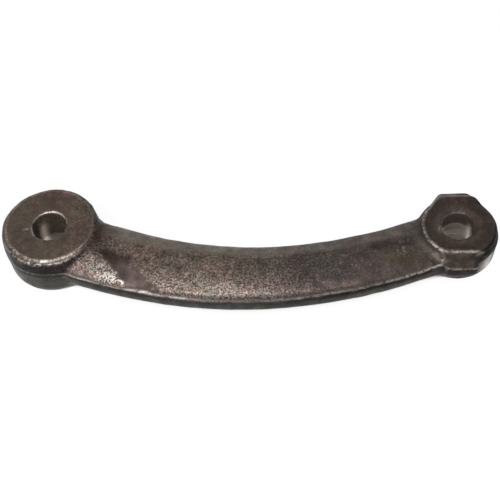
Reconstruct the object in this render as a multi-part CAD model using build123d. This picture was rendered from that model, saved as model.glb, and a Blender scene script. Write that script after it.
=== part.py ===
from build123d import *
import os
from math import asin, degrees, radians, tan

# Idler arm of a steering linkage: one steel drop forging, trimmed along its
# parting line, then machined on the boss faces and in both holes. A round
# pivot boss and a lugged stud boss stand at the ends of a bowed arm.
# Frame: the origin lies on the pivot bore's axis, in the plane where the two
# dies part; +Z is up that axis, +X points to the stud boss, and the arm bows
# to -Y. All sizes are in millimetres and degrees.

# Layout of the two bosses and the arm between them
centre_distance = 189.5
arm_bow = 23.2
lowest_point = 0.48

# Forging allowances
arm_draft = 3.0
land_height = 2.0
land_ledge = 0.4

# Pivot boss, the large round one
pivot_bore = 16.0
bore_chamfer = 0.4
pivot_rim_diameter = 45.7
pivot_flank_lean = 1.0
pivot_bevel_width = 2.0
pivot_bevel_height = 1.1
pivot_top = 8.3

# Stud boss, the small one with a stop lug on each side
stud_rim_diameter = 33.9
stud_flank_lean = 24.0
stud_bevel = 0.5
stud_top = 4.8

# Underside, machined flat on both bosses at once
boss_depth = 13.4
heel_lean = 1.0
heel_bevel = 1.2

# Stud hole: a drilled stretch from the top, then the stud's tapered seat
stud_hole = 15.0
drilled_length = 8.0
seat_taper = 8.0
spot_face_diameter = 17.4
spot_face_depth = 0.3

# Stop lugs, drafted wedges that slope down from the stud boss's top
lug_reach = 21.9
lug_heel = 14.2
near_lug_ridge = 14.2
far_lug_ridge = 16.8
near_lug_width = 14.6
near_lug_flare = 8.0
far_lug_width = 13.2
far_lug_flare = 32.0
lug_toe = 0.6
lug_wall = 5.2

# Arm's section at the pivot end, half way and at the stud end
half_widths = (17.0, 14.6, 13.7)
crowns = (5.2, 5.7, 3.1)
crown_width = 0.5
neck_rise = 8.0
neck_length = 36.0
neck_top = 6.2
belly_clearance = 0.6
shoulder_fullness = 0.62
belly_bevel = 5.0
section_count = 13

# Rounds where the arm runs into the bosses: under the parting plane, and at
# the land's inner corners
underside_round = 3.0
stud_underside_round = 2.0
land_round = 4.0

land = land_height / 2
arm_depth = boss_depth - belly_clearance
pivot_radius = pivot_rim_diameter / 2 + (pivot_top - land) * tan(radians(pivot_flank_lean))
stud_radius = stud_rim_diameter / 2 + (stud_top - land) * tan(radians(stud_flank_lean))
seat_length = stud_top + boss_depth - drilled_length


def along(sizes, t):
    """Size at t from 0 to 1 on the parabola through sizes at 0, 1/2 and 1."""
    start, middle, end = sizes
    return start * (1 - t) * (1 - 2 * t) + middle * 4 * t * (1 - t) + end * t * (2 * t - 1)


def arm_section(centre_line, t):
    """Arm's outline across its centre line, at t from 0 (pivot) to 1 (stud).

    Above the parting plane each half is one curve that leaves the flank at its
    draft, rounds the shoulder and ends level on the crown. Below it: a drafted
    flank and a flat belly with broad bevels. The trimmed flash stands out
    between them as a narrow land.
    """
    tangent = centre_line % t
    across = Vector(-tangent.Y, tangent.X, 0)
    place = Plane(origin=centre_line @ t, x_dir=across, z_dir=tangent)
    lean = tan(radians(arm_draft))
    half = along(half_widths, t)
    neck = max(0, 1 - t * centre_line.length / neck_length)
    crown = min(along(crowns, t) + neck_rise * neck ** 2, neck_top)
    turn = shoulder_fullness * (crown - land)
    belly = half - arm_depth * lean
    right = [
        (half, land),
        (half + land_ledge, land),
        (half + land_ledge, -land),
        (half, -land),
        (belly, -arm_depth),
    ]
    left = [(-x, z) for x, z in reversed(right)]
    lower = Polyline(*right, *left)
    crown_half = Bezier((half, land), (half - lean * turn, land + turn), (half * crown_width, crown), (0, crown))
    upper = [crown_half, crown_half.mirror(Plane.YZ)]
    face = make_face([*lower.edges(), *upper])
    corners = face.vertices().filter_by(lambda v: abs(v.Y + arm_depth) < 1e-6)
    face = chamfer(corners, belly_bevel)
    return place * face


def boss(top, rim_radius, parting_radius, bevel_width, bevel_height):
    """Round boss turned about +Z, with a bevelled rim and the arm's own land."""
    foot = parting_radius - boss_depth * tan(radians(heel_lean))
    half = Polyline(
        (0, top),
        (rim_radius - bevel_width, top),
        (rim_radius, top - bevel_height),
        (parting_radius, land),
        (parting_radius + land_ledge, land),
        (parting_radius + land_ledge, -land),
        (parting_radius, -land),
        (foot, heel_bevel - boss_depth),
        (foot - heel_bevel, -boss_depth),
        (0, -boss_depth),
        close=True,
    )
    return revolve(Plane.XZ * make_face(half), Axis.Z)


def lug(width, flare):
    """Stop lug on the stud boss's near side: a block that flares to its root."""
    root_half = width / 2 + lug_reach * tan(radians(flare)) / 2
    outline = make_face(Polyline(
        (-width / 2, -lug_reach),
        (width / 2, -lug_reach),
        (root_half, -lug_reach / 2),
        (0, 0),
        (-root_half, -lug_reach / 2),
        close=True,
    ))
    upper = extrude(outline, stud_top, dir=(0, 0, 1), taper=arm_draft)
    lower = extrude(outline, boss_depth, dir=(0, 0, -1), taper=arm_draft)
    rib = extrude(offset(outline, land_ledge, kind=Kind.INTERSECTION), land, both=True)
    return upper + lower + rib


def wedge(near_side, far_side):
    """Solid between two side outlines, each of (distance from the centre line, height)."""
    near = [(-y, z) for y, z in reversed(near_side)]
    profile = make_face(Polyline(*far_side, *near, close=True))
    return extrude(Plane.YZ * profile, stud_radius * 2, both=True)


def root_edge(shape, boss_centre, radius, course, half, side, height):
    """Edge at the corner between a boss and one side of the arm.

    The arm leaves the boss along course; its side stands half a width off, so
    it meets the boss's flank at asin(half / radius) from that direction.
    """
    turn = side * degrees(asin(half / radius))
    spot = boss_centre + course.rotate(Axis.Z, turn) * radius + Vector(0, 0, height)
    return shape.edges().sort_by(lambda e: (e.center() - spot).length)[0]


# Arm and pivot boss
arm_line = Spline((0, 0, 0), (lowest_point * centre_distance, -arm_bow, 0), (centre_distance, 0, 0))
arm = loft([arm_section(arm_line, i / (section_count - 1)) for i in range(section_count)])
pivot = boss(pivot_top, pivot_rim_diameter / 2, pivot_radius, pivot_bevel_width, pivot_bevel_height)

# Stop lugs, sloped underneath from their outer wall to the boss's underside
lug_edge = lug_reach + land_ledge
lug_side = [
    (lug_edge, stud_top),
    (lug_edge, -land),
    (lug_reach, -land),
    (lug_reach, -lug_wall),
    (lug_heel, -boss_depth),
]
lugs = lug(near_lug_width, near_lug_flare) + mirror(lug(far_lug_width, far_lug_flare), Plane.XZ)
lugs = lugs & wedge(lug_side, lug_side)

# Stud boss, with a slope cut down from its top face over each lug
near_slope, far_slope = [
    [(ridge, stud_top), (lug_edge, lug_toe), (lug_edge, -boss_depth)] for ridge in (near_lug_ridge, far_lug_ridge)
]
stud = boss(stud_top, stud_rim_diameter / 2, stud_radius, stud_bevel, stud_bevel)
stud = (stud + lugs) & wedge(near_slope, far_slope)

body = arm + pivot + Pos(centre_distance, 0, 0) * stud

# Rounds at the roots of the arm
pivot_root = (Vector(0, 0, 0), pivot_radius, arm_line % 0, half_widths[0])
stud_root = (Vector(centre_distance, 0, 0), stud_radius, (arm_line % 1) * -1, half_widths[2])
body = fillet(root_edge(body, *pivot_root, 1, -boss_depth / 3), underside_round)
body = fillet([root_edge(body, *pivot_root, side, 0) for side in (1, -1)], land_round)
body = fillet(root_edge(body, *stud_root, -1, 0), land_round)
body = fillet(root_edge(body, *stud_root, -1, -boss_depth / 3), stud_underside_round)

# Pivot bore, chamfered at both ends
bore_side = [
    (pivot_bore / 2 + bore_chamfer, pivot_top),
    (pivot_bore / 2, pivot_top - bore_chamfer),
    (pivot_bore / 2, bore_chamfer - boss_depth),
    (pivot_bore / 2 + bore_chamfer, -boss_depth),
]
bore = revolve(Plane.XZ * make_face(Polyline((0, pivot_top), *bore_side, (0, -boss_depth), close=True)), Axis.Z)

# Stud hole under its spot face
seat_radius = stud_hole / 2 + seat_length / seat_taper / 2
hole_side = [
    (spot_face_diameter / 2, stud_top),
    (spot_face_diameter / 2, stud_top - spot_face_depth),
    (stud_hole / 2, stud_top - spot_face_depth),
    (stud_hole / 2, stud_top - drilled_length),
    (seat_radius, -boss_depth),
]
hole = revolve(Plane.XZ * make_face(Polyline((0, stud_top), *hole_side, (0, -boss_depth), close=True)), Axis.Z)

body = body - bore - Pos(centre_distance, 0, 0) * hole
os.makedirs("parts", exist_ok=True)
export_step(body, "parts/idler_arm.step")
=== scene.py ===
import bpy
import numpy as np
from mathutils import Matrix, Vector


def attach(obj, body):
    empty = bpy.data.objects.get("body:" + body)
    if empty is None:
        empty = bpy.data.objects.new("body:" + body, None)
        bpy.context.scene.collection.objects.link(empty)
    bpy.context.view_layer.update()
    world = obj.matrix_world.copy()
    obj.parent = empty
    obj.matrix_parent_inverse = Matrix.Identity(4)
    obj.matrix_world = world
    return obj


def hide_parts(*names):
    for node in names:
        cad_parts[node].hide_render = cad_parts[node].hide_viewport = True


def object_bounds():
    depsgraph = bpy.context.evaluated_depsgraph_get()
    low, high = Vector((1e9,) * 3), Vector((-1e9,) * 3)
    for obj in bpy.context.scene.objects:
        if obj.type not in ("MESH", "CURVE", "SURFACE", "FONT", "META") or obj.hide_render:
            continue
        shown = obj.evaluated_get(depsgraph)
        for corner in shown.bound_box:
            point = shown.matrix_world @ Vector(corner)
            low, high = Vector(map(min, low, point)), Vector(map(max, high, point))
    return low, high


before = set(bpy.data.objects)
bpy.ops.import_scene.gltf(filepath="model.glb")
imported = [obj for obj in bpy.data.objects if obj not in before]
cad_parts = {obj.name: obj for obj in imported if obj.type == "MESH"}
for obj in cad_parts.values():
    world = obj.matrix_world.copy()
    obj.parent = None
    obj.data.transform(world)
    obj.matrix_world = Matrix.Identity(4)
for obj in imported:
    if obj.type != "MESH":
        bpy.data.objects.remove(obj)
cad_box = [list(corner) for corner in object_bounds()]

# Camera: the photograph looks down on the arm's outer side from 54 degrees,
# with a 72 mm lens on a 36 mm wide square frame that is tilted 5 degrees.
view_azimuth = 5.43
view_height = 54.48
view_tilt = np.radians(-5.03)
view_target = np.array([0.09363, -0.00921, 0.0])
view_distance = 0.4626


def facing(azimuth, height):
    """Unit vectors to the right, up and back of what looks at the arm.

    Back points away from the arm, turned by the azimuth from -Y toward +X and
    lifted by the height, both in degrees. Right is level and square to back,
    and up is their cross product.
    """
    turn, lift = np.radians([azimuth, height])
    back = np.array([np.sin(turn) * np.cos(lift), -np.cos(turn) * np.cos(lift), np.sin(lift)])
    right = np.array([np.cos(turn), np.sin(turn), 0.0])
    return right, np.cross(back, right), back


def stand(name, data, right, up, back, distance):
    """New camera or lamp, a distance from the target along back and turned to face it."""
    holder = bpy.data.objects.new(name, data)
    turned = np.eye(4)
    turned[:3] = np.column_stack([right, up, back, view_target + back * distance])
    holder.matrix_world = Matrix(turned.tolist())
    bpy.context.scene.collection.objects.link(holder)
    return holder


level, upright, back = facing(view_azimuth, view_height)
right = level * np.cos(view_tilt) + upright * np.sin(view_tilt)
up = upright * np.cos(view_tilt) - level * np.sin(view_tilt)
lens = bpy.data.cameras.new("camera")
lens.lens = 72.0
lens.sensor_width = 36.0
lens.clip_start = 0.01
bpy.context.scene.camera = stand("camera", lens, right, up, back, view_distance)
bpy.context.scene.view_settings.view_transform = "Standard"

# Forged arm: one steel drop forging, struck hot between two dies, trimmed along
# the parting line and machined on the boss faces and in both holes. All else
# keeps its scale, pits, ragged flash and scars. Sizes here are in millimetres.
mm = 0.001
centre_distance = 189.5
arm_bow = 23.2
lowest_point = 0.48
pivot_top = 8.3
stud_top = 4.8
underside = -13.4
pivot_rim = 22.85
stud_rim = 16.95
bore_radius = 8.0
bore_chamfer = 0.4
stud_hole_radius = 7.5
near_lug_ridge = -14.2
far_lug_ridge = 16.8
spot_face_radius = 8.7
spot_face_depth = 0.3
seat_start = -3.2
seat_taper = 8.0
seat_radius = stud_hole_radius + (seat_start - underside) / seat_taper / 2
skin_voxel = 0.56


def lattice_noise(points, cell, seed):
    """Smooth value noise from -1 to 1, one value per point.

    Every corner of a cubic lattice has a value out of a seeded table, found by
    mixing its three whole numbers. The eight corners round a point are blended
    along each axis with three times the square less twice the cube of the
    point's place in its cell.
    """
    table_size = 4096
    mixers = np.array([7349, 9151, 6151])
    scatter = 2654435761
    table = np.random.default_rng(seed).uniform(-1, 1, table_size)
    place = points / cell
    base = np.floor(place).astype(np.int64)
    part = place - base
    part = part * part * (3 - 2 * part)
    total = np.zeros(len(points))
    for corner in range(8):
        ends = np.array([corner & 1, corner >> 1 & 1, corner >> 2 & 1])
        key = (base + ends) @ mixers * scatter >> 7
        share = np.prod(np.where(ends, part, 1 - part), axis=1)
        total += share * table[key % table_size]
    return total


def ease(low, high, value):
    """Blend from 0 at low to 1 at high: three times the square less twice the cube."""
    part = np.clip((value - low) / (high - low), 0, 1)
    return part * part * (3 - 2 * part)


def band(start, full, ending, out, value):
    """Blend that rises from 0 at start to 1 at full, and falls from 1 at ending to 0 at out."""
    return ease(start, full, value) * ease(out, ending, value)


def hump(centre, width, value):
    """Bell from 1 at the centre to near 0 two widths away: e to minus the squared ratio."""
    return np.exp(-((value - centre) / width) ** 2)


def neighbour_mean(values, pairs):
    """Mean over each point's neighbours along the mesh edges: their sum by their count."""
    first, second = pairs.T
    size = len(values)
    count = np.bincount(first, minlength=size) + np.bincount(second, minlength=size)
    columns = [
        np.bincount(first, column[second], size) + np.bincount(second, column[first], size)
        for column in values.T
    ]
    return np.stack(columns, axis=1) / count[:, None]


def relaxed(points, pairs, weight, passes):
    """Each pass moves every point by its weight toward its neighbours' mean."""
    for _ in range(passes):
        points = points + weight[:, None] * (neighbour_mean(points, pairs) - points)
    return points


def segment_place(flat, start, end):
    """Distance from a line in plan, and the place along it from 0 to 1.

    The place is the share of the line's run that the way from its start covers.
    """
    run = np.subtract(end, start)
    part = np.clip((flat - start) @ run / (run @ run), 0, 1)
    return np.linalg.norm(flat - start - part[:, None] * run, axis=1), part


def read(collection, field, width, kind=np.float64):
    """One field of a mesh's collection as an array of that many columns."""
    values = np.empty(len(collection) * width, kind)
    collection.foreach_get(field, values)
    return values.reshape(-1, width)


# An even skin over a copy of the solid, so that scale and scars have points
arm = bpy.data.objects.new("forged_arm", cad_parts["idler_arm"].data.copy())
bpy.context.scene.collection.objects.link(arm)
weld = arm.modifiers.new("merge", "WELD")
weld.merge_threshold = 0.01 * mm
remesh = arm.modifiers.new("even_skin", "REMESH")
remesh.mode = "VOXEL"
remesh.voxel_size = skin_voxel * mm
ready = arm.evaluated_get(bpy.context.evaluated_depsgraph_get())
skin = bpy.data.meshes.new_from_object(ready)
arm.modifiers.clear()
arm.data = skin
points = read(skin.vertices, "co", 3) / mm
pairs = read(skin.edges, "vertices", 2, np.int32)


def shaped(points):
    """Puts the skin's points in place and gives their new normals."""
    skin.vertices.foreach_set("co", (points * mm).ravel())
    skin.update()
    return read(skin.vertex_normals, "vector", 3)


# Each point's distance from both axes, and off the arm's bowed centre line
x, y, z = points.T
from_stud = x - centre_distance
pivot_radius = np.hypot(x, y)
stud_radius = np.hypot(from_stud, y)
bow = -arm_bow / (lowest_point * (1 - lowest_point) * centre_distance ** 2)
line = bow * x * (centre_distance - x)
slope = np.arctan(bow * (centre_distance - 2 * x))
offset = (y - line) * np.cos(slope)

# Machined zones keep their true faces
pivot_face = ease(-0.5, -0.1, z - pivot_top) * ease(pivot_rim - 1.4, pivot_rim - 2.2, pivot_radius)
stud_face = ease(-1.0, -0.2, z - stud_top)
stud_face *= ease(spot_face_radius + 1.4, spot_face_radius + 0.6, stud_radius)
bottom_face = ease(underside + 0.35, underside + 0.1, z)
bore_wall = ease(bore_radius + 0.9, bore_radius + 0.5, pivot_radius)
hole_wall = ease(seat_radius + 0.9, seat_radius + 0.5, stud_radius)
as_forged = 1 - np.maximum.reduce([pivot_face, stud_face, bottom_face, bore_wall, hole_wall])

# Blends where the arm and the lugs run into the bosses, and edges worn round
pivot_root = hump(pivot_rim + 0.6, 3.5, pivot_radius) * ease(10, 16, x) * ease(0.5, 2.5, z)
stud_root = hump(stud_rim + 2.2, 1.6, stud_radius) * ease(-8, -12, from_stud)
lug_edges = ease(stud_rim - 2, stud_rim + 1, np.abs(y)) * ease(12, 10, np.abs(from_stud))
roots = np.clip(pivot_root + 0.8 * stud_root + 0.8 * lug_edges, 0, 1)
belly_edge = ease(-3, -6, z) * ease(pivot_rim - 2, pivot_rim + 2, pivot_radius)
pivot_land = hump(pivot_rim, 2.5, pivot_radius) * ease(14, 9, x) * hump(0, 2.2, z)
nose_land = hump(stud_rim + 1.7, 2.5, stud_radius) * ease(4, 8, from_stud) * hump(0, 2.2, z)
lower_edges = np.maximum.reduce([belly_edge, pivot_land, nose_land])
far_corner = np.hypot(x - 23.5, y - 9.5)
far_root = hump(0, 5.5, far_corner) * ease(6.5, 4, z)
rim_round = band(pivot_rim - 2.4, pivot_rim - 1.2, pivot_rim + 1, pivot_rim + 3, pivot_radius)
rim_round *= ease(3.5, 5, z)
everywhere = 1.0
smoothings = (
    (everywhere, 0.5, 3),
    (roots, 0.6, 12),
    (lower_edges, 0.6, 40),
    (far_root, 0.8, 90),
    (rim_round, 0.6, 5),
)
for zone, weight, passes in smoothings:
    points = relaxed(points, pairs, weight * as_forged * zone, passes)
normals = shaped(points)
x, y, z = points.T
from_stud = x - centre_distance
flat = points[:, :2]


def patch(centre, size):
    """Soft oval spot in plan: e to minus the squared distance, counted in its own sizes."""
    return np.exp(-(((flat - centre) / size) ** 2).sum(axis=1))


# Zones that the relief, the tone or the wear follows
front_bearing = -98
upper = ease(0.8, 2.4, z)
on_arm = ease(pivot_rim - 1, pivot_rim + 3, pivot_radius) * ease(stud_rim - 1, stud_rim + 4, stud_radius)
neck = ease(37, 26, pivot_radius) * ease(8, 15, x) * upper
near_shoulder = ease(-6, -10, offset)
near_wall = ease(-9, -12, offset) * on_arm
cove = hump(stud_rim + 3.4, 2.4, stud_radius) * ease(-6, -12, from_stud) * upper
pivot_front = hump(front_bearing, 58, np.degrees(np.arctan2(y, x)))

# Scar: a scoop struck down the near shoulder, with a ragged foot along the land
scar_line = ((27.0, -13.0), (45.0, -31.0))
foot_line = ((40.0, -31.5), (51.0, -33.0))
foot_width = 3.2
scar_distance, scar_place = segment_place(flat, *scar_line)
foot_distance, _ = segment_place(flat, *foot_line)
scar_width = 2.4 + 3.4 * scar_place
scar_edge = np.minimum(scar_distance / scar_width, foot_distance / foot_width)
scar_edge += 0.30 * lattice_noise(points, 2.4, seed=17) + 0.20 * lattice_noise(points, 1.2, seed=19)
scar = ease(1.1, 0.7, scar_edge) * upper
scoop = np.clip(1 - (scar_distance / scar_width) ** 2, 0, 1) ** 1.5 * (0.5 + 0.5 * scar_place) * upper

# Crease inward of the scar, a painted glare on the shoulder before it, a smeared spot
crease_line = ((25.0, -12.0), (38.0, -17.5))
glare_line = ((20.0, -18.5), (36.5, -31.0))
crease_distance, _ = segment_place(flat, *crease_line)
crease = hump(0, 1.9, crease_distance) * upper
glare_distance, glare_place = segment_place(flat, *glare_line)
painted_glare = hump(0, 5.0, glare_distance) * (0.25 + 0.75 * glare_place) * upper * (1 - scar)
smear_spot = patch((15.5, -24.5), (4.5, 3.5))
smear = smear_spot * upper

# Pits cover the upper side. They fade toward the stud and along the far side,
# and the scar, the smeared spot and the pivot's cut face have few.
pitted = upper * (1 - 0.75 * ease(95, 165, x)) * (1 - 0.9 * scar) * (1 - 0.9 * smear_spot)
pitted *= 1 - 0.8 * ease(5, 9, offset) * on_arm
pitted *= 1 - pivot_face * (0.85 - 0.30 * ease(4, 14, x))
crust = band(24, 32, 60, 90, x) * band(-10, -6, 6, 9, offset) * upper * (1 - scar)

# Relief in millimetres, from hills a centimetre wide down to the scale's grains
hills = lattice_noise(points, 14, seed=3)
swells = lattice_noise(points, 5, seed=5)
lumps = lattice_noise(points, 2.6, seed=8)
grain = lattice_noise(points, 1.5, seed=13) + 0.7 * lattice_noise(points, 0.9, seed=21)
depth = 0.20 * hills + 0.13 * swells + 0.10 * crust * lumps
depth += 0.03 * grain * (0.35 + 0.65 * pitted)
depth += 0.20 * lumps * neck

# Hollows: the cove at the stud boss, the scar and the ledge above the land
ledge = near_shoulder * hump(1.9, 0.9, z) * ease(25, 50, x)
depth -= 1.1 * cove
depth -= 0.7 * scoop + 0.5 * crease
depth -= 0.35 * ledge

# Edges: the land's ragged trim, the bosses' knocked rims and the near lug's ridge
trimmed = hump(0, 1.0, z) * on_arm
depth -= trimmed * (0.10 + 0.12 * lattice_noise(points * [1, 1, 0], 4, seed=31))
pivot_edge = hump(pivot_rim - 0.8, 1.4, pivot_radius) * ease(-2.2, -0.8, z - pivot_top)
depth -= pivot_edge * np.clip(lumps + 0.5 * swells - 0.15, 0, 1) * 0.35
depth -= 0.40 * pivot_front * hump(pivot_rim - 1.7, 0.9, pivot_radius) * (z > pivot_top - 1.5)
nose = ease(3, 8, from_stud) * ease(17, 14, np.abs(y))
depth -= 0.45 * nose * hump(stud_rim - 0.3, 1.2, stud_radius) * (z > stud_top - 1.2)
near_lug = ease(4, 7, -y) * ease(9, 6.5, np.abs(from_stud)) * hump(-18, 2.5, y)
depth -= 0.35 * near_lug * (z > 0.5)
depth *= as_forged
points = points + depth[:, None] * normals

# Both holes are put back to the drill's and cutter's own sizes
x, y, z = points.T
from_stud = x - centre_distance
pivot_radius = np.hypot(x, y)
stud_radius = np.hypot(from_stud, y)
bore_side = bore_radius + np.clip(z - pivot_top + bore_chamfer, 0, bore_chamfer)
bored = (pivot_radius < bore_side + 0.28) & (z > underside + 0.35)
points[bored, :2] *= (bore_side / pivot_radius)[bored][:, None]
seat_part = np.clip((seat_start - z) / (seat_start - underside), 0, 1)
seat_side = stud_hole_radius + (seat_radius - stud_hole_radius) * seat_part
drilled = (stud_radius < seat_side + 0.25) & (z < stud_top - spot_face_depth - 0.3) & (z > underside + 0.3)
pull = (seat_side / stud_radius)[drilled]
points[drilled, 0] = centre_distance + from_stud[drilled] * pull
points[drilled, 1] *= pull

# The pivot boss leans in at its front rim, and nothing stands out of the solid's box
front_lean = 0.8
leaning = pivot_front * ease(1.5, 7, z)
leaning *= band(pivot_rim - 5, pivot_rim - 2.4, pivot_rim + 2, pivot_rim + 4, pivot_radius)
points[:, :2] *= (1 - front_lean * leaning / np.maximum(pivot_radius, bore_radius))[:, None]
low_corner, high_corner = np.array(cad_box) / mm
points = np.clip(points, low_corner, high_corner)
normals = shaped(points)
skin.shade_smooth()

# How far each point stands proud of its neighbours, evened out twice
proud = np.einsum("ij,ij->i", points - neighbour_mean(points, pairs), normals)[:, None]
for _ in range(2):
    proud = neighbour_mean(proud, pairs)
proud = proud[:, 0]

x, y, z = points.T
flat = points[:, :2]
from_stud = x - centre_distance
along_lug = np.abs(from_stud)
bearing = np.degrees(np.arctan2(y, x))
stud_bearing = np.degrees(np.arctan2(y, from_stud))
on_pivot = ease(pivot_rim + 2.5, pivot_rim + 0.5, pivot_radius)
on_lugs = ease(stud_rim - 1, stud_rim, np.abs(y)) * (from_stud > -13)
on_stud = np.clip(ease(stud_rim + 3.0, stud_rim + 1.0, stud_radius) + on_lugs, 0, 1)

# Tone of the oxide, laid on zone by zone over the whole skin
oxide_brown = [0.112, 0.092, 0.080]
tone = np.tile(oxide_brown, (len(points), 1))


def lay(share, colour):
    """Moves the tone toward a colour: the share of the difference is added at every point."""
    tone[:] += np.clip(share, 0, 1)[:, None] * (np.array(colour) - tone)


# Arm: darker toward the stud, a painted reflection along the far side, painted shade above the land
lay(ease(75, 125, x) * (1 - on_stud), (0.054, 0.045, 0.043))
# Painted reflection of the pale room: a lighter grey-green band along the far shoulder
far_sheen = ease(5.5, 9.5, offset) * (1 - on_stud) * (1 - on_pivot) * ease(0.2, 1.2, z)
lay(0.85 * far_sheen, (0.126, 0.119, 0.103))
lay(0.85 * far_sheen * ease(90, 130, x), (0.100, 0.090, 0.082))
# Painted shade above the land, where the near shoulder turns down
lay(0.55 * near_shoulder * ease(2.8, 1.8, z) * upper * ease(62, 80, x), (0.036, 0.031, 0.027))
lay(0.55 * hump(-12.9, 1.6, offset) * upper * on_arm * ease(48, 58, x), (0.058, 0.048, 0.042))
lay(hump(4, 2.5, offset) * upper * on_arm * 0.4, (0.060, 0.052, 0.040))

# Stains on the arm before the stud boss, each with its centre and size in plan
stains = (
    ((160.5, -17.0), (7.0, 4.0), 0.85, (0.060, 0.046, 0.025)),
    ((171.0, -15.5), (4.5, 3.5), 0.80, (0.062, 0.043, 0.036)),
    ((166.0, -2.0), (4.5, 2.6), 0.80, (0.092, 0.074, 0.074)),
)
for centre, size, share, colour in stains:
    lay(patch(centre, size) * upper * share, colour)
oil_line = ((151.0, -11.0), (168.0, -8.2))
oil_distance, _ = segment_place(flat, *oil_line)
lay(hump(0, 2.4, oil_distance) * upper * 0.8, (0.028, 0.019, 0.018))

# Below the parting plane: painted shade, a painted paler reflection low on the wall toward the stud, darker
# toward the pivot, and a black painted-shade strip close under the land
lay(ease(0.0, -0.9, z), (0.027, 0.026, 0.022))
lay(ease(-2.0, -6.5, z) * ease(110, 150, x), (0.058, 0.058, 0.052))
lay(band(-5.5, -2.5, -0.9, 0.0, z) * near_shoulder * ease(60, 35, x), (0.018, 0.015, 0.013))
# Painted shade: a black strip close under the land
shade_strip = band(-3.4, -1.6, 0.1, 0.5, z) * near_wall
lay(shade_strip * (0.35 + 0.6 * ease(110, 140, x) + 0.35 * ease(65, 45, x)), (0.002, 0.002, 0.002))

# Pivot boss: the cut face lighter to the right, with reddish and olive spots
reddish_spots = ((-2.6, 18.6), (7.0, 18.4), (-19.0, -5.0))
olive_spots = ((-13.0, 13.5), (14.0, 12.0), (2.0, -15.0))
lay(on_pivot, (0.084, 0.066, 0.054))
lay(on_pivot * pivot_face * ease(6, 18, x), (0.128, 0.102, 0.084))
for centre in reddish_spots:
    lay(patch(centre, (2.2, 1.8)) * pivot_face * 0.6, (0.098, 0.060, 0.056))
for centre in olive_spots:
    lay(patch(centre, (5, 3.5)) * pivot_face * 0.6, (0.088, 0.078, 0.056))

# Its flank: painted black shade above the land, a painted paler reflection below it, and at the heel a
# painted grey reflection and a painted white glint
heel_reflection = ease(underside + 4.4, underside + 1.4, z) * hump(-95, 50, bearing)
heel_glint = ease(underside + 2.2, underside + 1.0, z) * hump(-76, 10, bearing)
pivot_flank = on_pivot * ease(pivot_rim - 2.0, pivot_rim - 1.2, pivot_radius)
lay(pivot_flank * ease(pivot_top - 0.7, pivot_top - 1.3, z), (0.020, 0.015, 0.016))
lay(pivot_flank * ease(0.0, -3.0, z), (0.050, 0.049, 0.043))
lay(pivot_flank * heel_reflection, (0.13, 0.13, 0.12))
lay(pivot_flank * heel_glint, (0.9, 0.9, 0.88))
# Painted shade on the bore's chamfer ring, all round but its far side
bore_mouth_shade = on_pivot * hump(bore_radius + 0.3, 0.5, pivot_radius)
lay(bore_mouth_shade * (1 - hump(78, 36, bearing)), (0.044, 0.034, 0.028))

# Neck: painted shade in its corner at the boss, and a painted glare on the near shoulder
corner = hump(pivot_rim + 1.4, 4, pivot_radius) * ease(10, 16, x) * ease(0.5, 2.5, z) * ease(-18, -12, y)
lay(corner * 0.8, (0.034, 0.026, 0.022))
lay(neck * 0.45 * ease(-14, -4, y), (0.045, 0.034, 0.028))
# Painted glare on the near shoulder
lay(0.6 * painted_glare, (0.19, 0.17, 0.155))

# Stud boss: a lighter ring at the hole, painted black shade on the far flank and in a notch, a painted pale
# reflection low on the flank
lay(on_stud, (0.039, 0.029, 0.025))
lay(hump(spot_face_radius + 1.1, 1.2, stud_radius) * on_stud * upper * 0.6, (0.070, 0.058, 0.050))
# Painted black shade on the far flank and in a notch beside the near lug
far_flank_shade = on_stud * ease(stud_rim - 0.9, stud_rim - 0.1, stud_radius)
far_flank_shade *= ease(4, 9, from_stud) * ease(15, 12, y)
notch_shade = patch((centre_distance + 9.3, -17), (1.3, 3)) * on_stud * upper
lay(np.maximum(far_flank_shade, notch_shade), (0.003, 0.003, 0.003))
# Painted pale reflection low on the front flank
flank_reflection = on_stud * ease(-0.3, -1.8, z) * hump(-44, 13, stud_bearing)
lay(flank_reflection, (0.55, 0.56, 0.54))

# Stop lugs: a light near root, a dark near slope, painted shade below the land on the near side, a painted
# highlight on the far one's slope and a black painted-shade line at its outer edge
lay(hump(-10.6, 1.1, from_stud) * band(-21.5, -20, -15, -13, y) * upper * 0.8, (0.125, 0.113, 0.102))
near_slope = ease(near_lug_ridge, near_lug_ridge - 1, y) * on_stud * upper
lay(near_slope, (0.034, 0.026, 0.021))
lay(hump(near_lug_ridge - 2.4, 1.2, y) * near_slope * 0.6, (0.016, 0.011, 0.010))
# Painted shade below the land on the near lug
lay(ease(0.6, -0.6, z) * on_stud * (y < 0) * ease(9, 7, along_lug), (0.026, 0.019, 0.023))
far_slope = ease(far_lug_ridge, far_lug_ridge + 1, y) * on_stud * upper
# Painted highlight along the far lug's slope, then a black painted-shade line at its outer edge
lay(far_slope * hump(far_lug_ridge + 0.8, 1.1, y), (0.190, 0.175, 0.150))
lay(ease(19.4, 20.6, y) * ease(-1.4, -0.6, z) * on_stud, (0.006, 0.005, 0.005))
lay(on_stud * stud_face * patch((centre_distance - 3, 13.5), (5, 2.6)), (0.052, 0.045, 0.032))
lay(cove * (y < 4), (0.080, 0.072, 0.064))

# Scar with painted shade at its upper end, painted shade in the crease, a bare nick at the scar's foot, and
# the smeared spot
lay(scar, (0.074, 0.061, 0.059))
# Painted shade in the scar's upper end and in the crease
lay(scar * ease(0.55, 0.15, scar_place), (0.038, 0.029, 0.024))
lay(crease * 0.85, (0.026, 0.019, 0.015))
nick = patch((47.1, -33.4), (1.3, 1.0)) * ease(0.6, 1.2, z)
lay(nick, (0.40, 0.38, 0.37))
lay(0.8 * smear, (0.105, 0.088, 0.082))

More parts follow.
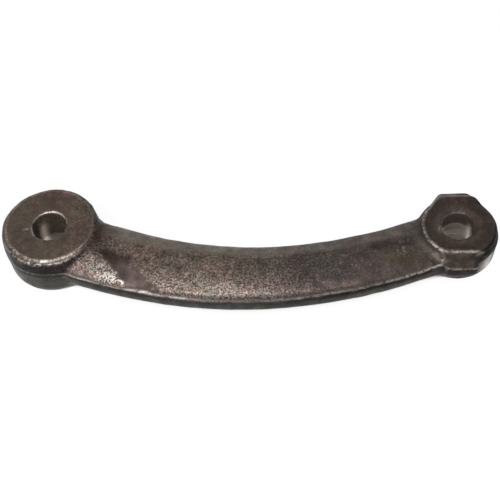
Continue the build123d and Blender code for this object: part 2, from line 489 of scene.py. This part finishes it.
# All of it is mottled, a shade darker and warmer, and oil darkens the bosses
mottling = 0.13 * lattice_noise(points, 7, seed=51) + 0.14 * lattice_noise(points, 2, seed=53)
tone *= (1 + 0.40 * crust * lumps)[:, None]
tone *= (1 + mottling)[:, None]
darkening = [0.85, 0.825, 0.795]
tone *= darkening
lay(0.12 * np.maximum(on_pivot, on_stud), (0.006, 0.004, 0.002))

# Walls of the two holes, with streaks where the light falls in
bore_skin = bore_wall * (z < pivot_top - 0.3)
streak_bearing = 131 - 0.6 * (z - pivot_top)
lay(bore_skin, (0.056, 0.043, 0.030))
lay(bore_skin * hump(168, 12, bearing), (0.030, 0.022, 0.016))
lay(bore_skin * hump(0, 14, bearing - streak_bearing) * ease(5, -9, z), (0.95, 0.88, 0.78))
hole_skin = hole_wall * (z < stud_top - 0.5)
seat_wall = hole_skin * ease(seat_start + 0.3, seat_start - 0.3, z)
lay(hole_skin, (0.040, 0.031, 0.027))
lay(seat_wall, (0.160, 0.138, 0.114))
lay(seat_wall * hump(146, 14, stud_bearing), (0.62, 0.57, 0.51))
lay(hole_skin * hump(33, 12, stud_bearing) * ease(1, -7, z), (0.72, 0.66, 0.59))

# Edges that stand proud by hundredths of a millimetre are worn bright, and each
# zone shows it more or less
worn_from = 0.010
worn_through = 0.045
show = np.full(len(points), 0.55)
show -= 0.48 * bore_wall * (1 - hump(78, 32, bearing)) + 0.45 * hole_wall
show += 0.1 * on_pivot * hump(-105, 50, bearing) * (z > 4)
right_side = on_pivot * hump(0, 62, bearing) * ease(bore_radius + 1, bore_radius + 2, pivot_radius)
show -= 0.40 * right_side * (z > 4)
show += 0.5 * on_stud * hump(-155, 35, stud_bearing) * (z > 1)
show -= 0.6 * on_stud * ease(3, 7, from_stud) * ease(-14.5, -13.5, y)
show -= 0.3 * near_slope
wear_and_highlight = ease(worn_from, worn_through, proud) * np.clip(show, 0, 1)
wear_and_highlight *= 1 - ease(bore_radius + 2.5, bore_radius + 1.8, pivot_radius)

# Single lines: the bore's lip and the pivot's front rim, worn and with a painted highlight, a scratch, the
# near lug
# The bore's lip: worn, with a painted highlight on its far side
lip_wear_and_glint = hump(bore_radius + 0.2, 0.4, pivot_radius) * ease(pivot_top - 1, pivot_top - 0.5, z)
lip_wear_and_glint *= 0.25 + 0.75 * hump(75, 45, bearing) + 0.45 * hump(-150, 22, bearing)
# Painted highlight on the pivot's front rim, ragged like wear
front_rim_wear_and_glint = hump(pivot_rim - 2.3, 0.7, pivot_radius) * ease(pivot_top - 1.1, pivot_top - 0.6, z)
front_rim_wear_and_glint *= hump(front_bearing, 55, bearing) * (0.48 + 0.5 * lumps + 0.3 * grain)
scratch_line = ((-11.6, -1.9), (-8.4, -1.6))
scratch_distance, _ = segment_place(flat, *scratch_line)
scratch = 0.5 * hump(0, 0.35, scratch_distance) * pivot_face
lug_ridge = hump(near_lug_ridge - 0.3, 0.5, y) * ease(9.4, 8.0, along_lug) * on_stud * upper
lug_side = hump(-8.4, 0.9, from_stud) * ease(-13.5, -14.5, y) * on_stud * upper
lug_lines = (0.45 + 0.35 * lumps) * np.maximum(lug_ridge, 0.8 * lug_side)

# A painted highlight shines in pieces along the trimmed flash's upper edge
flash_highlight = hump(0.95, 0.32, z) * ease(-8, -11, offset) * on_arm * (1 - on_stud)
flash_highlight *= 1.1 - 0.95 * ease(60, 75, x) + 0.30 * ease(138, 160, x)
flash_highlight *= 1 + 0.6 * lattice_noise(points, 3.5, seed=41) + 0.5 * lattice_noise(points, 11, seed=43)
wear_and_highlight = np.maximum.reduce([wear_and_highlight, lip_wear_and_glint, front_rim_wear_and_glint, scratch, lug_lines, flash_highlight])
wear_and_highlight *= 1 - 0.9 * near_wall * ease(0.6, 0.0, z)
flecks = ease(0.50, 0.75, lattice_noise(points, 1.0, seed=61)) * ease(112, 130, x)
flecks *= ease(10, 5, np.abs(offset + 2)) * (1 - on_stud) * upper
wear_and_highlight = np.maximum(wear_and_highlight, 0.16 * flecks)

# Gloss: dull toward the stud, in the scar and in the painted-shade strip; painted glints in the painted
# glare and thinly along the near shoulder
dull = np.clip(ease(88, 125, x) * 0.9 + scar + near_slope, 0, 1) + 1.2 * shade_strip
painted_sparkle = painted_glare + 0.15 * ease(-2, -8, offset) * upper * band(40, 55, 95, 125, x)
painted_sparkle = np.clip(painted_sparkle * (1 - scar) * (1 - smear), 0, 1)
marks = {
    "wear_and_highlight": wear_and_highlight,
    "recess_shade": ease(-0.012, -0.05, proud),
    "caked": np.maximum(bore_skin, hole_skin),
    "pitted": pitted,
    "dull": dull,
    "painted_sparkle": painted_sparkle,
}
for name, value in marks.items():
    mark = skin.attributes.new(name, "FLOAT", "POINT")
    mark.data.foreach_set("value", value.astype(np.float32))
paint = skin.attributes.new("tone", "FLOAT_COLOR", "POINT")
paint.data.foreach_set("color", np.column_stack([tone, np.ones(len(tone))]).astype(np.float32).ravel())


def new_group(name, inputs, outputs):
    """Empty shader group with its inputs and outputs, and their two end nodes."""
    group = bpy.data.node_groups.new(name, "ShaderNodeTree")
    for socket, kind, value in inputs:
        made = group.interface.new_socket(socket, in_out="INPUT", socket_type=kind)
        if value is not None:
            made.default_value = value
    for socket, kind in outputs:
        group.interface.new_socket(socket, in_out="OUTPUT", socket_type=kind)
    return group, group.nodes.new("NodeGroupInput"), group.nodes.new("NodeGroupOutput")


def add(tree, kind, settings=None, **inputs):
    """New node with its own settings, and with values or links on its inputs.

    An input goes by its name, with _ for a space, or as i0, i1 and so on by
    its number.
    """
    node = tree.nodes.new(kind)
    for field, value in (settings or {}).items():
        setattr(node, field, value)
    for name, value in inputs.items():
        socket = node.inputs[int(name[1:]) if name[1:].isdigit() else name.replace("_", " ")]
        if isinstance(value, bpy.types.NodeSocket):
            tree.links.new(value, socket)
        else:
            socket.default_value = value
    return node


def noise(tree, vector, scale, detail=3.0, roughness=0.55):
    """Noise texture with its blobs 1 / scale metres across."""
    inputs = {"Vector": vector, "Scale": scale, "Detail": detail, "Roughness": roughness}
    return add(tree, "ShaderNodeTexNoise", **inputs).outputs["Fac"]


def spread(tree, value, low, high, to_low=0.0, to_high=1.0):
    """Value mapped from low..high to to_low..to_high, level at both ends and held there."""
    inputs = {"From_Min": low, "From_Max": high, "To_Min": to_low, "To_Max": to_high}
    settings = {"interpolation_type": "SMOOTHSTEP"}
    return add(tree, "ShaderNodeMapRange", settings, Value=value, **inputs).outputs["Result"]


def sums(tree, operation, *values):
    """One step of arithmetic on two or three values."""
    inputs = {f"i{number}": value for number, value in enumerate(values)}
    return add(tree, "ShaderNodeMath", {"operation": operation}, **inputs).outputs[0]


def blend(tree, share, first, second, how="MIX"):
    """Colour taken by a share from the first to the second, or to their product."""
    settings = {"data_type": "RGBA", "blend_type": how}
    return add(tree, "ShaderNodeMix", settings, i0=share, i6=first, i7=second).outputs[2]


def mark_value(tree, name, output="Fac"):
    """The skin's own attribute of that name."""
    return add(tree, "ShaderNodeAttribute", {"attribute_name": name}).outputs[output]


# Forge scale: mottled oxide over the zone's own tone, with a fine speckle
scale_inputs = [
    ("Vector", "NodeSocketVector", None),
    ("Tone", "NodeSocketColor", None),
    ("Speckle", "NodeSocketFloat", 1.0),
]
scale_outputs = [
    ("Color", "NodeSocketColor"),
    ("Height", "NodeSocketFloat"),
    ("Mottle", "NodeSocketFloat"),
    ("Crumb", "NodeSocketFloat"),
]
scale_group, entry, leave = new_group("forge_scale", scale_inputs, scale_outputs)
place = entry.outputs["Vector"]
speckle = entry.outputs["Speckle"]
broad = noise(scale_group, place, 60.0, 2.0)
mottle = noise(scale_group, place, 210.0, 4.0, 0.6)
crumb = noise(scale_group, place, 1150.0, 2.0, 0.6)
fleck = noise(scale_group, place, 2100.0, 1.0)
light_crumbs = sums(scale_group, "MULTIPLY", spread(scale_group, crumb, 0.52, 0.66), speckle)
dark_crumbs = sums(scale_group, "MULTIPLY", spread(scale_group, crumb, 0.49, 0.36), speckle)

# Each layer multiplies the tone by its tint where its noise runs high or low
tints = (
    (spread(scale_group, broad, 0.42, 0.60), (1.05, 0.95, 0.96, 1)),
    (spread(scale_group, mottle, 0.50, 0.62), (0.82, 0.86, 0.82, 1)),
    (spread(scale_group, mottle, 0.48, 0.38), (1.25, 1.20, 1.16, 1)),
    (light_crumbs, (2.1, 2.1, 2.1, 1)),
    (dark_crumbs, (0.38, 0.36, 0.34, 1)),
)
oxide = entry.outputs["Tone"]
for share, tint in tints:
    oxide = blend(scale_group, share, oxide, tint, "MULTIPLY")
scale_group.links.new(oxide, leave.inputs["Color"])
scale_group.links.new(sums(scale_group, "MULTIPLY_ADD", fleck, 0.5, crumb), leave.inputs["Height"])
scale_group.links.new(mottle, leave.inputs["Mottle"])
scale_group.links.new(crumb, leave.inputs["Crumb"])

# The arm's steel: scale all over, bare where worn, the same bare steel for the painted glints and
# highlights, and painted shade in the hollows
bare_steel_and_glint = (0.46, 0.42, 0.39, 1)
recess_shade_colour = (0.022, 0.017, 0.014, 1)
grain_height = 0.16 * mm
steel = bpy.data.materials.new("forged_steel_skin")
steel.use_nodes = True
tree = steel.node_tree
shader = tree.nodes["Principled BSDF"]
place = add(tree, "ShaderNodeTexCoord").outputs["Object"]
pits = mark_value(tree, "pitted")
scale_node = add(
    tree,
    "ShaderNodeGroup",
    {"node_tree": scale_group},
    Vector=place,
    Tone=mark_value(tree, "tone", "Color"),
    Speckle=spread(tree, pits, 0.0, 1.0, 0.18, 0.9),
)
scale = scale_node.outputs
wear_and_glint = sums(tree, "MULTIPLY", mark_value(tree, "wear_and_highlight"), spread(tree, noise(tree, place, 800.0), 0.34, 0.56))
clump = sums(tree, "MULTIPLY_ADD", scale["Mottle"], 0.8, scale["Crumb"])
# Painted glints: bare steel colour in clumps where the glare is painted
glint = sums(tree, "MULTIPLY", mark_value(tree, "painted_sparkle"), spread(tree, clump, 0.88, 0.98))
wear_and_glint = sums(tree, "MAXIMUM", wear_and_glint, glint)
colour = blend(tree, wear_and_glint, scale["Color"], bare_steel_and_glint)
# Painted shade where the skin lies below its neighbours
colour = blend(tree, sums(tree, "MULTIPLY", mark_value(tree, "recess_shade"), 0.8), colour, recess_shade_colour)
tree.links.new(colour, shader.inputs["Base Color"])
rough = spread(tree, scale["Mottle"], 0.40, 0.60, 0.38, 0.50)
rough = sums(tree, "MULTIPLY_ADD", mark_value(tree, "dull"), 0.16, rough)
tree.links.new(rough, shader.inputs["Roughness"])
tree.links.new(sums(tree, "MULTIPLY_ADD", mark_value(tree, "caked"), -0.65, 0.85), shader.inputs["Metallic"])
relief = sums(tree, "MULTIPLY", scale["Height"], spread(tree, pits, 0.0, 1.0, 0.25, 1.0))
bump = add(tree, "ShaderNodeBump", Height=relief, Strength=1.0, Distance=grain_height)
tree.links.new(bump.outputs["Normal"], shader.inputs["Normal"])
skin.materials.clear()
skin.materials.append(steel)
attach(arm, "root")
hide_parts("idler_arm")

# Floor: a plain white paper sheet under the arm. It is white to the camera and
# in the steel, and keeps a faint part of the arm's shadow.
floor_reach = 20.0
floor_level = cad_box[0][2] - 0.02 * mm
shade_reach = 22 * mm
white_share = 0.88
paper_white = (0.8, 0.8, 0.8, 1)
paper_shade = (0.12, 0.10, 0.085, 1)
sheet = bpy.data.meshes.new("floor")
corners = [(-1, -1), (1, -1), (1, 1), (-1, 1)]
sheet.from_pydata([(a * floor_reach, b * floor_reach, floor_level) for a, b in corners], [], [(0, 1, 2, 3)])
floor = bpy.data.objects.new("floor", sheet)
bpy.context.scene.collection.objects.link(floor)


def seen_rays(tree):
    """1 for a ray that shows the surface to the camera: straight, mirrored or through glass."""
    rays = add(tree, "ShaderNodeLightPath").outputs
    seen = sums(tree, "MAXIMUM", rays["Is Camera Ray"], rays["Is Glossy Ray"])
    return sums(tree, "MAXIMUM", seen, rays["Is Transmission Ray"])


paper = bpy.data.materials.new("white_paper")
paper.use_nodes = True
tree = paper.node_tree
matt = tree.nodes["Principled BSDF"]
matt.inputs["Roughness"].default_value = 0.9
glow = add(tree, "ShaderNodeEmission", Strength=1.0)
open_sky = add(tree, "ShaderNodeAmbientOcclusion", {"samples": 48}, Distance=shade_reach).outputs["AO"]
lit = spread(tree, open_sky, 0.18, 0.27)
tree.links.new(blend(tree, lit, paper_shade, paper_white), matt.inputs["Base Color"])
share = sums(tree, "MULTIPLY", sums(tree, "MULTIPLY", seen_rays(tree), white_share), lit)
mixed = add(tree, "ShaderNodeMixShader", i0=share, i1=matt.outputs[0], i2=glow.outputs[0])

# It is clear from below, and to the short rays between it and the arm's
# underside, so that the room's light reaches that side too
underside_ray = 6.5 * mm
from_below = add(tree, "ShaderNodeNewGeometry").outputs["Backfacing"]
ray_length = add(tree, "ShaderNodeLightPath").outputs["Ray Length"]
see_through = sums(tree, "MAXIMUM", from_below, sums(tree, "LESS_THAN", ray_length, underside_ray))
clear = add(tree, "ShaderNodeBsdfTransparent")
mixed = add(tree, "ShaderNodeMixShader", i0=see_through, i1=mixed.outputs[0], i2=clear.outputs[0])
tree.links.new(mixed.outputs[0], tree.nodes["Material Output"].inputs["Surface"])
sheet.materials.append(paper)

# Studio light: a pale room all round, and one square softbox high in front that
# catches the near shoulder, the boss rims and the lugs.
room_light = 0.75
world = bpy.data.worlds.new("studio")
world.use_nodes = True
tree = world.node_tree
room = tree.nodes["Background"]
room.inputs["Color"].default_value = (1, 1, 1, 1)
strength = sums(tree, "MULTIPLY_ADD", seen_rays(tree), 1 - room_light, room_light)
tree.links.new(strength, room.inputs["Strength"])
bpy.context.scene.world = world
softbox = bpy.data.lights.new("front_softbox", "AREA")
softbox.size = 0.8
softbox.energy = 13.0
stand("front_softbox", softbox, *facing(azimuth=-10, height=58), distance=1.0)
